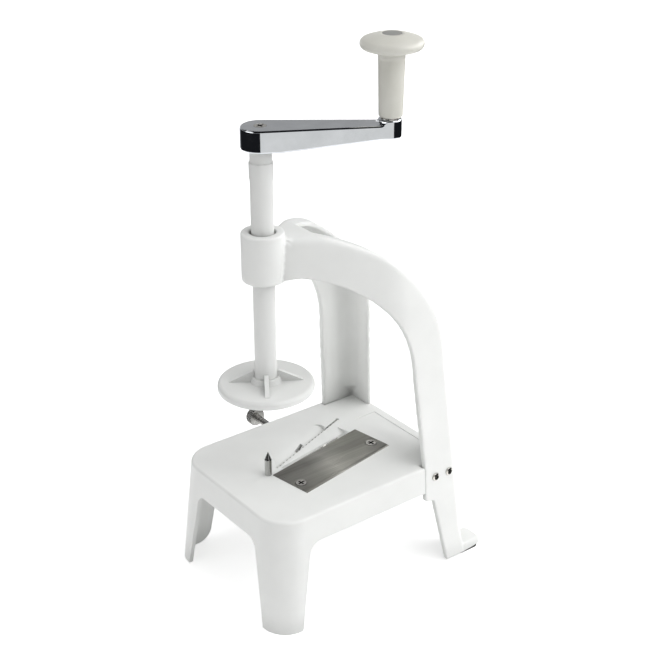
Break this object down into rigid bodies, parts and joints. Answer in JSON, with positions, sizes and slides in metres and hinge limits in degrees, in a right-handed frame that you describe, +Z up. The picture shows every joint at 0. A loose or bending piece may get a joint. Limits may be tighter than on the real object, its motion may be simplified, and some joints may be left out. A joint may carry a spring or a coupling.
{
  "type": "vertical spiral slicer",
  "caption": "Hand-cranked kitchen spiral slicer: a four-legged moulded table with a flat blade, an arched rear frame, and a spiked disc on a sliding shaft turned by a chrome crank with a knob.",
  "frame": {"origin": "on the floor under the shaft's axis", "axes": "+Z up along the shaft, -Y towards the front of the table, +X to the right seen from the front"},
  "size_m": [0.149, 0.1773, 0.3773],
  "materials": {
    "white_abs": "satin moulded",
    "chrome_zinc": "polished chrome plate",
    "offwhite_abs": "soft gloss moulded",
    "grey_cap": "satin moulded",
    "stainless": "brushed",
    "nickel_steel": "nickel plated",
    "brass_insert": "turned",
    "black_rubber": "matte",
    "acetal": "machined"
  },
  "bodies": {
    "stand": {"base_table": "white_abs", "rear_frame": "white_abs", "heel_pads": "black_rubber", "frame_screws": "nickel_steel", "frame_inserts": "brass_insert", "main_blade": "stainless", "blade_screws": "nickel_steel", "blade_nuts": "nickel_steel", "centre_pin": "nickel_steel", "pin_nut": "nickel_steel", "thumb_nut": "nickel_steel", "bush_clip": "nickel_steel"},
    "guide": {"guide_bush": "acetal"},
    "plunger": {"shaft": "white_abs", "shaft_insert": "brass_insert", "pusher_disc": "white_abs", "disc_pin": "nickel_steel", "crank_arm": "chrome_zinc", "crank_screw": "nickel_steel", "knob_spindle": "nickel_steel", "spindle_washer": "nickel_steel"},
    "knob": {"knob_grip": "offwhite_abs", "knob_cap": "grey_cap"},
    "comb": {"comb_blade": "stainless", "comb_holder": "white_abs", "comb_rivets": "nickel_steel"},
    "clamp": {"clamp_pad": "nickel_steel"},
    "thumb": {"thumbscrew": "nickel_steel"}
  },
  "joints": [
    {"name": "crank_turn", "type": "hinge", "parent": "stand", "child": "guide", "pos_m": [0, 0, 0.24], "axis": [0, 0, 1], "continuous": true},
    {"name": "plunge", "type": "slide", "parent": "guide", "child": "plunger", "axis": [0, 0, 1], "range_m": [-0.0515, 0.058]},
    {"name": "knob_spin", "type": "hinge", "parent": "plunger", "child": "knob", "pos_m": [0.04226, 0.06508, 0.35], "axis": [0, 0, 1], "continuous": true},
    {"name": "comb_lift", "type": "slide", "parent": "stand", "child": "comb", "axis": [0, 0, 1], "range_m": [0, 0.003]},
    {"name": "clamp_slide", "type": "slide", "parent": "stand", "child": "clamp", "axis": [1, 0, 0], "range_m": [-0.0056, 0]},
    {"name": "thumb_turn", "type": "hinge", "parent": "clamp", "child": "thumb", "pos_m": [-0.05, 0.0454, 0.0729], "axis": [1, 0, 0], "range_deg": [-2525, 0]}
  ],
  "couplings": [
    {"joint": "thumb_turn", "follows": "clamp_slide", "rad_per_m": 7854}
  ]
}
